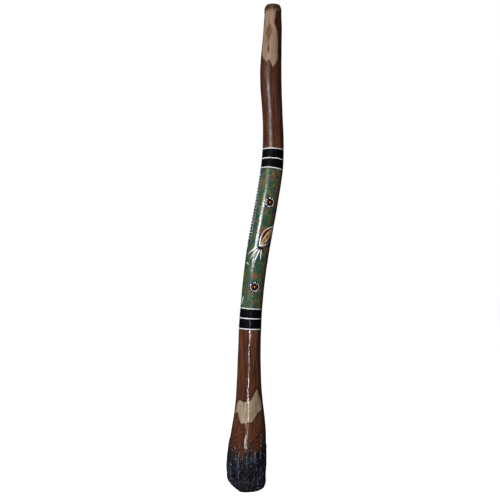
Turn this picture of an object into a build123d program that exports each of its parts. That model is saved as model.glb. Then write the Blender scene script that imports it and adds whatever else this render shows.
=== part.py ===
from build123d import *
from math import atan2, cos, degrees, radians, sin
import os

# A didgeridoo: a termite-hollowed eucalypt log that stands on its bell, with a beeswax
# mouthpiece at the top. +Z is up, the front faces -Y, sizes are in millimetres.
# Each paint colour is a thin film with a thickness, in a node of its own.

# ---- wood ----
LOG_LENGTH = 1240.0
MOUTH_BORE = 30.0
WAX_LINER = 1.5  # wax inside the mouth end
WAX_SKIN = 1.5  # wax outside the mouth end, flush with the log
SPIGOT_WALL = 5.0  # wood between the two
BODY_WALL = 10.0
BELL_WALL = 12.0
NECK_WALL = 7.6

MOUTH_SEAT = MOUTH_BORE + 2 * WAX_LINER
SPIGOT_WIDTH = MOUTH_SEAT + 2 * SPIGOT_WALL
MOUTH_WIDTH = SPIGOT_WIDTH + 2 * WAX_SKIN
MOUTH_WALL = SPIGOT_WALL + WAX_SKIN

# Rings of the log from the bell end up: share of the length, steps right and back from
# the bell's centre, width of the wood, wall.
LOG_RINGS = [
    (0.000, 0.0, 0.0, 96.0, BELL_WALL),
    (0.048, 1.1, 0.0, 98.5, BELL_WALL),
    (0.105, 5.4, 0.0, 92.5, BELL_WALL),
    (0.153, 7.9, 0.0, 77.6, BODY_WALL),
    (0.202, 7.9, 1.0, 65.4, BODY_WALL),
    (0.266, 8.3, 3.0, 60.0, BODY_WALL),
    (0.323, 10.3, 6.0, 58.2, BODY_WALL),
    (0.403, 17.1, 10.0, 56.9, BODY_WALL),
    (0.484, 30.4, 15.0, 59.4, BODY_WALL),
    (0.581, 51.5, 22.0, 60.4, BODY_WALL),
    (0.685, 70.1, 31.0, 57.2, BODY_WALL),
    (0.790, 68.7, 36.0, 53.8, BODY_WALL),
    (0.871, 65.0, 35.0, 56.8, BODY_WALL),
    (0.948, 69.2, 32.0, 49.2, NECK_WALL),
    (0.976, 70.4, 31.0, 47.4, MOUTH_WALL),
    (1.000, 70.4, 31.0, MOUTH_WIDTH, MOUTH_WALL),
]

# ---- slanting trim at the left of the bell ----
TRIM_START = 14.0  # from the bell's centre
TRIM_REACH = 38.0
TRIM_RISE = 21.0

# ---- beeswax mouthpiece ----
LIP_HEIGHT = 10.0  # above the end of the wood
WAX_OVERLAP = 9.0  # down the outside of the wood
LINER_DEPTH = 26.0  # down the inside
CROWN_HEIGHT = 7.0  # rounded part of the lip

# ---- bark left on the bell ----
BARK_THICKNESS = 3.2
BARK_EDGE = 1.2  # at the torn top edge
BARK_TOP = 142.0
BARK_TEARS = [30.0, 52.0, 24.0, 60.0, 38.0, 66.0, 28.0, 46.0]  # how far each tear runs down
TEAR_WIDTH = 16.0
TEARS_ROUND = 16

# ---- knot filling near the mouth ----
KNOT_BELOW_MOUTH = 64.0
KNOT_TURN = -24.0
KNOT_WIDTH = 13.0
KNOT_TALL = 40.0
KNOT_POCKET = 3.0
KNOT_PROUD = 0.5

# ---- paint ----
COAT = 0.35
OVERPAINT = 0.35
BEAD = 0.5  # how far lines and dots stand over what they lie on
RING_LINE = 2.6
UPPER_LINES = [872.0, 846.0, 821.0]
LOWER_LINES = [458.0, 433.0, 406.0]
LINE_FIT = 0.02  # gap between two paints side by side
PAINT_LEFT = -116.0  # the back is bare wood
PAINT_RIGHT = 66.0

ROSETTES = [(732.0, 15.0), (515.0, 7.0)]
ROSETTE_RADIUS = 14.5
DOT_RADIUS = 2.0
OUTER_DOTS = 13
OUTER_DOT_RING = 11.0
INNER_DOTS = 7
INNER_DOT_RING = 5.7
INNER_DOT_RADIUS = 1.3
CENTRE_DOT_RADIUS = 2.3

STRIP_TURN = -76.0
STRIP_WIDTH = 15.0
STRIP_LOW = 632.0
STRIP_HIGH = 812.0
STRIP_DOT_PITCH = 7.9

LEAF_HEIGHT = 645.0
LEAF_TURN = 36.0
LEAF_LENGTH = 70.0
LEAF_WIDTH = 34.0
LEAF_LEAN = -32.0
LEAF_LINE = 1.6
LEAF_POINT = 5.0  # from the tip of the outline to the tip of a panel
LEAF_VEIN = 1.6
LEAF_MIDDLE = 11.0  # width of the light panel
STROKES = [(-52.0, 30.0), (-35.0, 32.0), (-17.0, 34.0), (1.0, 24.0)]  # lean, length
STROKE_HEIGHT = 622.0
STROKE_TURN = 14.0
STROKE_WIDTH = 3.8
STROKE_GAP = 14.0  # from the middle of the fan to where a stroke starts

# ---- how the shapes are made ----
RADIAL_REACH = 60.0  # longer than any radius of the log
BLOCK = 600.0  # side of the blocks that cut other shapes
SIDE_STEP = 40.0  # height between the outlines of the painted side
SIDE_CORNERS = 5  # points on each outline
SMALLEST_WIDTH = min(width for _, _, _, width, _ in LOG_RINGS[4:13])


def ring(height, right, back, width):
    return Pos(right, back, height) * Circle(width / 2)


def tube(extra=0.0):
    """The outside of the log, larger by extra on every side."""
    return loft([ring(s * LOG_LENGTH, x, y, w + 2 * extra) for s, x, y, w, _ in LOG_RINGS])


def air_column():
    """The hollow of the log, between the walls."""
    return loft([ring(s * LOG_LENGTH, x, y, w - 2 * wall) for s, x, y, w, wall in LOG_RINGS])


def centre_at(height):
    return section(BLANK, section_by=Plane.XY.offset(height)).face().center()


def outward(height, turn):
    """A plane on the centre line that looks out through the surface; turn is to the right of the front."""
    across = (cos(radians(turn)), sin(radians(turn)), 0)
    out = (sin(radians(turn)), -cos(radians(turn)), 0)
    return Plane(origin=centre_at(height), x_dir=across, z_dir=out)


def half_space(height, shift, side):
    """All that lies above (Align.MIN) or below (Align.MAX) a cut square to the log."""
    along = (centre_at(height + 1) - centre_at(height - 1)).normalized()
    cut = Plane(origin=centre_at(height) + along * shift, x_dir=(1, 0, 0), z_dir=along)
    return cut * Box(BLOCK, BLOCK, BLOCK, align=(Align.CENTER, Align.CENTER, side))


def line_round(height):
    """The block of one line square to the log."""
    low = half_space(height, -RING_LINE / 2, Align.MIN)
    return low & half_space(height, RING_LINE / 2, Align.MAX)


def band_between(high, low):
    """The block between two lines."""
    edge = RING_LINE / 2 + LINE_FIT
    return half_space(low, edge, Align.MIN) & half_space(high, -edge, Align.MAX)


def film(shapes, low, high):
    """What lies in the shapes between two distances over the wood."""
    if (low, high) not in SHELLS:
        SHELLS[low, high] = SKINS[high] - SKINS[low]
    return solids_in([SHELLS[low, high] & solids_in(shapes)])


def sector(height):
    """The painted side at one height: a fan from the centre line."""
    step = (PAINT_RIGHT - PAINT_LEFT) / (SIDE_CORNERS - 1)
    turns = [radians(PAINT_LEFT + i * step) for i in range(SIDE_CORNERS)]
    fan = [(RADIAL_REACH * sin(t), -RADIAL_REACH * cos(t)) for t in turns]
    return Pos(*centre_at(height)) * Polygon((0, 0), *fan, align=None)


def painted_side():
    """The block in front of the bare back, along the bends of the log."""
    low = LOWER_LINES[-1] - SIDE_STEP
    count = int((UPPER_LINES[0] - low) / SIDE_STEP) + 2
    return loft([sector(low + i * SIDE_STEP) for i in range(count)], ruled=True)


def bands(lines):
    blocks = [band_between(a, b) for a, b in zip(lines[:-1], lines[1:])]
    return film([block & PAINTED for block in blocks], BARE, COAT)


def lines_round(heights):
    return film([line_round(h) & PAINTED for h in heights], BARE, LINE)


def lens(length, width):
    """A leaf outline, pointed at both ends, upright."""
    tip = length / 2
    right = ThreePointArc((0, -tip), (width / 2, 0), (0, tip))
    left = ThreePointArc((0, tip), (-width / 2, 0), (0, -tip))
    return make_face([right, left])


def dots(places, radius):
    """Flat drops of paint that stand on the overpaint, each at (plane, right, up)."""
    drops = []
    for plane, right, up in places:
        line = Axis((plane * Pos(right, up, 0)).position, plane.z_dir)
        hits = SKINS[OVER].find_intersection_points(line)
        spot, normal = max(hits, key=lambda hit: (hit[0] - line.position).dot(line.direction))
        lift = radius**2 / SMALLEST_WIDTH + LINE_FIT
        foot = Plane(origin=spot + normal * lift, z_dir=normal)
        drops.append(foot * Cylinder(radius, BEAD, align=(Align.CENTER, Align.CENTER, Align.MIN)))
    return solids_in(drops)


def clock(plane, radius, count):
    """Places round a circle on a plane."""
    turns = [radians(360 * i / count) for i in range(count)]
    return [(plane, radius * sin(t), radius * cos(t)) for t in turns]


def solids_in(shapes):
    """Every solid of a list of shapes, as one compound."""
    return Compound([s for shape in shapes for s in shape.solids()])


def under_trim():
    """The wood and bark that the slanting trim takes away."""
    lean = degrees(atan2(TRIM_RISE, TRIM_REACH))
    block = Box(BLOCK, BLOCK, BLOCK, align=(Align.CENTER, Align.CENTER, Align.MAX))
    return Pos(-TRIM_START, 0, 0) * Rot(0, lean, 0) * block


BARE, OVER, LINE = 0.0, COAT + OVERPAINT, COAT + BEAD
SKINS = {level: tube(level) for level in (BARE, COAT, OVER, LINE)}
SHELLS = {}
BLANK = SKINS[BARE]
PAINTED = painted_side()

# ---- the log ----
top = Vector(LOG_RINGS[-1][1], LOG_RINGS[-1][2], LOG_LENGTH)
at_top = Plane(origin=top)
from_top = (Align.CENTER, Align.CENTER, Align.MAX)
rebate = Cylinder(RADIAL_REACH, WAX_OVERLAP, align=from_top)
rebate -= Cylinder(SPIGOT_WIDTH / 2, WAX_OVERLAP, align=from_top)
trim = under_trim()
log = BLANK - air_column() - at_top * rebate - trim

# ---- the knot filling sits in a pocket of the log ----
knot_face = outward(LOG_LENGTH - KNOT_BELOW_MOUTH, KNOT_TURN)
knot_bar = extrude(knot_face * Ellipse(KNOT_WIDTH / 2, KNOT_TALL / 2), RADIAL_REACH)
knot_filler = (knot_bar & tube(KNOT_PROUD)) - tube(-KNOT_POCKET)
log -= knot_filler

# ---- the mouthpiece: a liner, a skin outside the wood and a rounded lip ----
bore_r, skin_r = MOUTH_BORE / 2, MOUTH_WIDTH / 2
lip_r = (skin_r + bore_r) / 2
crown_foot = LIP_HEIGHT - CROWN_HEIGHT
with BuildSketch(Plane.XZ) as half_section:
    with BuildLine():
        Polyline(
            (skin_r, crown_foot),
            (skin_r, -WAX_OVERLAP),
            (SPIGOT_WIDTH / 2 - WAX_SKIN, -WAX_OVERLAP),
            (SPIGOT_WIDTH / 2 - WAX_SKIN, -LINER_DEPTH),
            (bore_r, -LINER_DEPTH),
            (bore_r, crown_foot),
        )
        Spline(
            (skin_r, crown_foot),
            (lip_r, LIP_HEIGHT),
            (bore_r, crown_foot),
            tangents=[(0, 1), (0, -1)],
        )
    make_face()
wax_blank = revolve(half_section.sketch, Axis.Z)
mouthpiece = (Pos(*top) * wax_blank) - log

# ---- the bark: a sleeve with a torn top edge ----
bark_rings = []
for s, x, y, w, _ in LOG_RINGS[:4]:
    height = s * LOG_LENGTH
    thick = BARK_THICKNESS + (BARK_EDGE - BARK_THICKNESS) * min(height / BARK_TOP, 1)
    bark_rings.append(ring(height, x, y, w + 2 * thick))
bark = loft(bark_rings) - BLANK - trim
bark &= Box(BLOCK, BLOCK, BARK_TOP, align=(Align.CENTER, Align.CENTER, Align.MIN))
tears = []
for i in range(TEARS_ROUND):
    face = outward(BARK_TOP, 360 * i / TEARS_ROUND)
    depth = BARK_TEARS[i % len(BARK_TEARS)]
    tear = Polygon((-TEAR_WIDTH / 2, 1), (TEAR_WIDTH / 2, 1), (0, -depth), align=None)
    tears.append(extrude(face * tear, RADIAL_REACH))
bark = bark - tears

# ---- the ground coat fills the space between the two sets of lines ----
ground_coat = film([band_between(UPPER_LINES[-1], LOWER_LINES[0]) & PAINTED], BARE, COAT)

# ---- rosettes ----
faces = [outward(height, turn) for height, turn in ROSETTES]
discs = [extrude(face * Circle(ROSETTE_RADIUS), RADIAL_REACH) for face in faces]
outer_places, inner_places = [], []
for face in faces:
    outer_places += clock(face, OUTER_DOT_RING, OUTER_DOTS)
    inner_places += clock(face, INNER_DOT_RING, INNER_DOTS)

# ---- dotted strip at the left side ----
strip_places = []
count = int((STRIP_HIGH - STRIP_LOW) / STRIP_DOT_PITCH)
middle, half = (STRIP_HIGH + STRIP_LOW) / 2, STRIP_WIDTH / 2
for i in range(count):
    height = middle + (i - (count - 1) / 2) * STRIP_DOT_PITCH
    strip_places.append((outward(height, STRIP_TURN), 0, 0))
below, above = outward(STRIP_LOW, STRIP_TURN), outward(STRIP_HIGH, STRIP_TURN)
between = (below.origin + above.origin) / 2
side = Plane(origin=between, x_dir=below.x_dir, z_dir=below.z_dir)
rise = above.origin - below.origin
lean, tall = rise.dot(below.x_dir) / 2, rise.Z / 2
strip_shape = Polygon(
    (-half - lean, -tall),
    (half - lean, -tall),
    (half + lean, tall),
    (-half + lean, tall),
    align=None,
)
strip = extrude(side * strip_shape, RADIAL_REACH)

# ---- leaf motif ----
leaf_face = outward(LEAF_HEIGHT, LEAF_TURN) * Rot(0, 0, LEAF_LEAN)
panel_length = LEAF_LENGTH - 2 * LEAF_POINT
light_shape = lens(panel_length, LEAF_MIDDLE)
dark_shape = lens(panel_length, LEAF_WIDTH - 2 * LEAF_LINE)
dark_shape -= lens(panel_length, LEAF_MIDDLE + 2 * LEAF_VEIN)
outline_shape = lens(LEAF_LENGTH, LEAF_WIDTH) - dark_shape - light_shape
outline = extrude(leaf_face * outline_shape, RADIAL_REACH)
dark_panels = extrude(leaf_face * dark_shape, RADIAL_REACH)
light_panel = extrude(leaf_face * light_shape, RADIAL_REACH)

strokes = []
fan_at = outward(STROKE_HEIGHT, STROKE_TURN)
for angle, length in STROKES:
    left_end, right_end = (-STROKE_WIDTH / 2, 0), (STROKE_WIDTH / 2, 0)
    taper = Polygon(left_end, right_end, (0, -length), align=None)
    start = Rot(0, 0, angle) * Pos(0, -STROKE_GAP)
    strokes.append(extrude(fan_at * start * taper, RADIAL_REACH))

nodes = {
    "log": log,
    "beeswax_mouthpiece": mouthpiece,
    "knot_filler": knot_filler,
    "bark_skirt": bark,
    "ground_coat": ground_coat,
    "upper_black_bands": bands(UPPER_LINES),
    "lower_black_bands": bands(LOWER_LINES),
    "upper_white_rings": lines_round(UPPER_LINES),
    "lower_white_rings": lines_round(LOWER_LINES),
    "rosette_discs": film(discs, COAT, OVER),
    "rosette_outer_dots": dots(outer_places, DOT_RADIUS),
    "rosette_inner_dots": dots(inner_places, INNER_DOT_RADIUS),
    "rosette_centre_dots": dots([(face, 0, 0) for face in faces], CENTRE_DOT_RADIUS),
    "border_strip": film([strip], COAT, OVER),
    "border_dots": dots(strip_places, DOT_RADIUS),
    "leaf_outline": film([outline], COAT, OVER),
    "leaf_dark_panels": film([dark_panels], COAT, OVER),
    "leaf_light_panel": film([light_panel], COAT, OVER),
    "brush_strokes": film(strokes, COAT, OVER),
}

# The origin goes to the middle of the bounding box's underside.
box = Compound([s for shape in nodes.values() for s in shape.solids()]).bounding_box()
to_origin = Pos(-box.center().X, -box.center().Y, -box.min.Z)
os.makedirs("parts", exist_ok=True)
for name, shape in nodes.items():
    export_step(to_origin * Compound(list(shape.solids())), "parts/" + name + ".step")
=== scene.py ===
# %% [markdown]
# # A painted didgeridoo
# A didgeridoo is a young eucalypt trunk that termites have hollowed. Its maker cuts it,
# strips most of the bark, rolls a rim of beeswax on the thin end and paints the rest.
# The lesson measures the log of the engineering model once and then lays every other
# piece on it, so that wood, bark, wax and paint follow the same bends.

# %% Load the engineering model
import math

import bmesh
import bpy
import numpy as np
from mathutils import Matrix, Vector, noise
from mathutils.bvhtree import BVHTree


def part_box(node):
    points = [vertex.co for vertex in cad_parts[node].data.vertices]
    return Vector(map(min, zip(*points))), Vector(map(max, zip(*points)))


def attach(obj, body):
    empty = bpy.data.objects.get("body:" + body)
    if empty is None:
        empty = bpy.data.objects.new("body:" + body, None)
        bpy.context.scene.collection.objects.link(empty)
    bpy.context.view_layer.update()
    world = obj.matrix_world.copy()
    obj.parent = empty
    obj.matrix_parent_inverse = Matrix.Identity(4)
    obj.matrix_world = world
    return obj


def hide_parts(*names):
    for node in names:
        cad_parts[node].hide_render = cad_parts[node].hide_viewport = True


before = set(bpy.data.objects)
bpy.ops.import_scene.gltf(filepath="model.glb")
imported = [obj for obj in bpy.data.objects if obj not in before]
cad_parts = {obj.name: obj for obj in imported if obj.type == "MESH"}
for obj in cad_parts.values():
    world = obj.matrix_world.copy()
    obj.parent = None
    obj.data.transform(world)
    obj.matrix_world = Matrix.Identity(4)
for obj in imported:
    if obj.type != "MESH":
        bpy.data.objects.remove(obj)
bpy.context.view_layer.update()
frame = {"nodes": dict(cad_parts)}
MM = 0.001
print("nodes", len(frame["nodes"]))

# %% [markdown]
# ## Measure the log
# Level lines are shot through the log every few millimetres. The middle of a chord gives
# the centre, its half gives the outside radius, and the second wall it meets gives the
# hollow. A short running mean takes out the facets of the mesh.

# %% Shoot the lines
log_mesh = frame["nodes"]["log"].data
log_tree = BVHTree.FromPolygons(
    [v.co for v in log_mesh.vertices], [p.vertices for p in log_mesh.polygons]
)
wax_low, wax_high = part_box("beeswax_mouthpiece")
log_low, log_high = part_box("log")
WOOD_TOP = log_high.z
WAX_TOP = wax_high.z
MOUTH = (wax_low + wax_high) / 2
FAR = 0.5  # lines start this far outside
FIRST, LAST, STEP = 26, 1222, 4
BASE = 60 * MM  # the trimmed end is eased into the log over this height
SEAM = 0.001 * MM  # points nearer than this are one point


def walls(point, step):
    """Where the outside and the hollow are met, looking back along a level step."""
    outer = log_tree.ray_cast(point + step * FAR, -step)[0]
    just_in = outer - step * 0.1 * MM
    inner = log_tree.ray_cast(just_in, -step)[0]
    return outer, inner


rows = []
guess = MOUTH.y
for mm in range(LAST, FIRST - 1, -STEP):
    at = Vector((MOUTH.x, guess, mm * MM))
    right, left = walls(at, Vector((1, 0, 0))), walls(at, Vector((-1, 0, 0)))
    x = (right[0].x + left[0].x) / 2
    at = Vector((x, guess, mm * MM))
    back, front = walls(at, Vector((0, 1, 0))), walls(at, Vector((0, -1, 0)))
    guess = (back[0].y + front[0].y) / 2
    outside = (back[0].y - front[0].y) / 2
    rows.append((mm * MM, x, guess, outside, (back[1].y - front[1].y) / 2))
rows = np.array(rows[::-1])
LEVELS = np.arange(-0.04, 1.30, MM)
KERNEL = np.ones(21) / 21


def spread_out(column):
    """One measure at every millimetre, carried on straight past both ends and smoothed."""
    h, v = rows[:, 0], rows[:, column]
    start, end = (v[3] - v[0]) / (h[3] - h[0]), (v[-1] - v[-6]) / (h[-1] - h[-6])
    line = np.interp(LEVELS, h, v)
    line = np.where(LEVELS < h[0], v[0] + (LEVELS - h[0]) * start, line)
    line = np.where(LEVELS > h[-1], v[-1] + (LEVELS - h[-1]) * end, line)
    for _ in range(2):
        line = np.convolve(np.pad(line, 10, mode="edge"), KERNEL, mode="valid")
    return line


TABLE = np.stack([spread_out(c) for c in (1, 2, 3, 4)], axis=1)
print("log", len(rows), "levels measured, widest", round(max(rows[:, 3]) * 2000, 1), "mm")


def at_height(h):
    """Centre x, centre y, outside radius and hollow radius at a height."""
    place = (h - LEVELS[0]) / MM
    i = min(max(int(place), 0), len(LEVELS) - 2)
    return TABLE[i] + (TABLE[i + 1] - TABLE[i]) * (place - i)


def rise_at(h):
    """The direction of the centre line."""
    a, b = at_height(h - 4 * MM), at_height(h + 4 * MM)
    return Vector((b[0] - a[0], b[1] - a[1], 8 * MM)).normalized()


# %% [markdown]
# ## The slanting trim
# The lower end isn't cut quite square: a slice is missing on one side. Two lines shot up
# from below find that slanting face, and every piece at the bell ends on it.

# %% Find the trim
bell = at_height(0.0)


def underside(x):
    """The height of the cut end above the floor at a place across the bell."""
    return log_tree.ray_cast(Vector((x, bell[1], -FAR)), Vector((0, 0, 1)))[0].z


near, far = bell[0] - 39 * MM, bell[0] - 45 * MM
trim_slope = (underside(far) - underside(near)) / (near - far)
trim_start = near + underside(near) / trim_slope
print("trim slope", round(math.degrees(math.atan(trim_slope)), 1), "degrees")


def trim_height(x):
    return max(0.0, (trim_start - x) * trim_slope)


def smooth(t):
    t = min(max(t, 0.0), 1.0)
    return t * t * (3 - 2 * t)


# %% [markdown]
# ## One way to lay things on the log
# A place on the log is a height along it, a turn from the front and a distance over the
# wood. Heights are square to the centre line, so a ring painted at one height is square to
# the log where the log leans. The wood has slow swellings and shallow flutes of its own.

# %% Places on the log


def swelling(h, turn):
    """Lumps of the bare wood."""
    s, c = math.sin(turn), math.cos(turn)
    slow = noise.noise((1.1 * s, 1.1 * c, h * 9)) * 0.9
    quick = noise.noise((3.0 * s + 7, 3.0 * c, h * 26)) * 0.35
    flutes = noise.noise((7.0 * s, 7.0 * c + 3, h * 7)) * 0.8 * smooth((0.26 - h) / 0.16)
    taper = 1.3 * smooth((h - 1.185) / 0.045)
    return (slow + quick + flutes - taper) * MM


def on_log(h, turn, over=0.0, hollow=False):
    """A place in the shared frame from a height, a turn and a distance over the wood."""
    out = Vector((math.sin(turn), -math.cos(turn), 0))
    x, y, outer, inner = at_height(h)
    rise = rise_at(h)
    ease = smooth(h / BASE) * smooth((WOOD_TOP - h) / BASE)
    z = h - outer * out.dot(rise) * rise.z * ease
    x, y, outer, inner = at_height(z)
    away = (inner if hollow else outer + swelling(z, turn)) + over
    x, y = x + out.x * away, y + out.y * away
    if z < BASE:
        lift = trim_height(x)
        z = lift + z * (BASE - lift) / BASE
    return Vector((x, y, z))


print("mouth leans", round(math.degrees(rise_at(WOOD_TOP).angle(Vector((0, 0, 1)))), 1), "degrees")

# %% [markdown]
# ## Tubes, wraps and finished pieces
# Log, bark and wax start as rings pulled up from a circle. Paint starts flat and is
# wrapped. Each point also keeps its place on the unbent log, which the materials read.

# %% Tools that every piece uses


def grow_rings(segments, count):
    """A plain tube, one unit high for each row; the last row is laid on the first later."""
    bm = bmesh.new()
    bmesh.ops.create_circle(bm, segments=segments, radius=1)
    ring = list(bm.edges)
    for _ in range(count):
        grown = bmesh.ops.extrude_edge_only(bm, edges=ring)["geom"]
        verts = {g for g in grown if isinstance(g, bmesh.types.BMVert)}
        ring = [g for g in grown if isinstance(g, bmesh.types.BMEdge) and set(g.verts) <= verts]
        bmesh.ops.translate(bm, verts=list(verts), vec=(0, 0, 1))
    return bm


def tube(segments, count, place):
    """A closed skin round the log. place(row, turn) gives height, distance over, in the hollow."""
    bm = grow_rings(segments, count)
    straight = bm.verts.layers.float_vector.new("straight")
    for v in bm.verts:
        turn = math.atan2(v.co.x, -v.co.y)
        h, over, hollow = place(round(v.co.z) % count, turn)
        r = at_height(h)[2]
        v[straight] = Vector((math.sin(turn) * r, -math.cos(turn) * r, h))
        v.co = on_log(h, turn, over, hollow)
    bmesh.ops.remove_doubles(bm, verts=bm.verts, dist=SEAM)
    return bm


def wrap(bm, h, turn, lean=0.0):
    """Lays flat work on the log: x goes round it, y goes along it, z stands over the wood."""
    r = at_height(h)[2]
    straight = bm.verts.layers.float_vector.new("straight")
    for v in bm.verts:
        x = v.co.x * math.cos(lean) - v.co.y * math.sin(lean)
        y = v.co.x * math.sin(lean) + v.co.y * math.cos(lean)
        t, up, over = turn + x / r, h + y, v.co.z
        here = at_height(up)[2]
        v[straight] = Vector((math.sin(t) * here, -math.cos(t) * here, up))
        v.co = on_log(up, t, over)


def shown(name, bm, material, nodes=()):
    """Turns the work into a piece that rides on the part and stands for CAD nodes."""
    bmesh.ops.recalc_face_normals(bm, faces=bm.faces)
    mesh = bpy.data.meshes.new(name)
    for f in bm.faces:
        f.smooth = True
    bm.to_mesh(mesh)
    bm.free()
    for m in material if isinstance(material, list) else [material]:
        mesh.materials.append(m)
    piece = bpy.data.objects.new(name, mesh)
    bpy.context.scene.collection.objects.link(piece)
    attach(piece, "root")
    if nodes:
        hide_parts(*nodes)
    mesh.calc_loop_triangles()
    print(name, len(mesh.loop_triangles), "triangles")
    return piece


def joined(parts):
    """Several pieces of work as one mesh."""
    whole = bmesh.new()
    whole.verts.layers.float_vector.new("straight")
    for bm in parts:
        mesh = bpy.data.meshes.new("part")
        bm.to_mesh(mesh)
        bm.free()
        whole.from_mesh(mesh)
        bpy.data.meshes.remove(mesh)
    return whole


print("tools ready")


# %% [markdown]
# ## Materials
# Every surface is under thick clear varnish, so each material is a colour pattern below a
# coat. A small helper keeps the node work short. Patterns read the place on the unbent
# log, so that grain runs along the bends and never shows a seam.

# %% A helper for building materials


def rgb(r, g, b):
    """A screen colour as the linear colour that shaders take."""
    parts = [c / 255 for c in (r, g, b)]
    return (*[((c + 0.055) / 1.055) ** 2.4 if c > 0.04 else c / 12.92 for c in parts], 1)


class Recipe:
    """A material built step by step; each step gives the socket that it ends in."""

    def __init__(self, name, rough=0.4, coat=1.0, coat_rough=0.1):
        self.material = bpy.data.materials.new(name)
        self.material.use_nodes = True
        self.tree = self.material.node_tree
        self.shader = self.tree.nodes["Principled BSDF"]
        self.set("Roughness", rough)
        self.set("Coat Weight", coat)
        self.set("Coat Roughness", coat_rough)
        self.set("Specular IOR Level", 0.03)
        self.where = self.add("ShaderNodeAttribute", attribute_name="straight").outputs["Vector"]

    def add(self, kind, **settings):
        node = self.tree.nodes.new(kind)
        for key, value in settings.items():
            setattr(node, key, value)
        return node

    def feed(self, socket, value):
        if isinstance(value, bpy.types.NodeSocket):
            self.tree.links.new(value, socket)
        else:
            socket.default_value = value

    def set(self, name, value):
        self.feed(self.shader.inputs[name], value)

    def attribute(self, name):
        return self.add("ShaderNodeAttribute", attribute_name=name).outputs["Fac"]

    def space(self, stretch=(1, 1, 1), shift=(0, 0, 0)):
        node = self.add("ShaderNodeMapping")
        self.feed(node.inputs["Vector"], self.where)
        node.inputs["Scale"].default_value = stretch
        node.inputs["Location"].default_value = shift
        return node.outputs["Vector"]

    def noise(self, size, stretch=(1, 1, 1), detail=4.0, shift=(0, 0, 0), warp=0.0):
        """Noise with blobs of about this size in metres."""
        node = self.add("ShaderNodeTexNoise")
        self.feed(node.inputs["Vector"], self.space(stretch, shift))
        node.inputs["Scale"].default_value = 1 / size
        node.inputs["Detail"].default_value = detail
        node.inputs["Distortion"].default_value = warp
        return node.outputs["Fac"]

    def cells(self, size, stretch=(1, 1, 1), output="Distance"):
        node = self.add("ShaderNodeTexVoronoi", feature="F1")
        self.feed(node.inputs["Vector"], self.space(stretch))
        node.inputs["Scale"].default_value = 1 / size
        return node.outputs[output]

    def sum(self, kind, a, b=0.0, c=0.0):
        node = self.add("ShaderNodeMath", operation=kind)
        for socket, value in zip(node.inputs, (a, b, c)):
            self.feed(socket, value)
        return node.outputs[0]

    def span(self, value, low, high, start=0.0, end=1.0):
        """Takes low..high to start..end, smoothly and without going past them."""
        node = self.add("ShaderNodeMapRange", interpolation_type="SMOOTHSTEP")
        self.feed(node.inputs[0], value)
        for socket, number in zip(node.inputs[1:5], (low, high, start, end)):
            socket.default_value = number
        return node.outputs[0]

    def mix(self, share, a, b):
        node = self.add("ShaderNodeMix", data_type="RGBA")
        self.feed(node.inputs[0], share)
        self.feed(node.inputs[6], a)
        self.feed(node.inputs[7], b)
        return node.outputs[2]

    def ramp(self, value, *stops):
        node = self.add("ShaderNodeValToRGB")
        while len(node.color_ramp.elements) < len(stops):
            node.color_ramp.elements.new(0.5)
        for element, (place, colour) in zip(node.color_ramp.elements, stops):
            element.position = place
            element.color = colour
        self.feed(node.inputs[0], value)
        return node.outputs[0]

    def bump(self, height, depth, under=None):
        """Relief of this depth in metres, on top of another relief or of the plain surface."""
        node = self.add("ShaderNodeBump")
        node.inputs["Distance"].default_value = depth
        node.inputs["Strength"].default_value = 1.0
        self.feed(node.inputs["Height"], height)
        if under is not None:
            self.feed(node.inputs["Normal"], under)
        return node.outputs["Normal"]


print("material helper ready")


# %% [markdown]
# ## Wood
# Stained and varnished gum wood: dark red-brown streaks that run along the log, with
# fine open pores. Where the maker cut deeper, pale sapwood shows with a sharp, wandering
# edge, and the stain gathers in a darker rim beside it.

# %% Wood under varnish
ALONG = (1, 1, 0.06)


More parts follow.
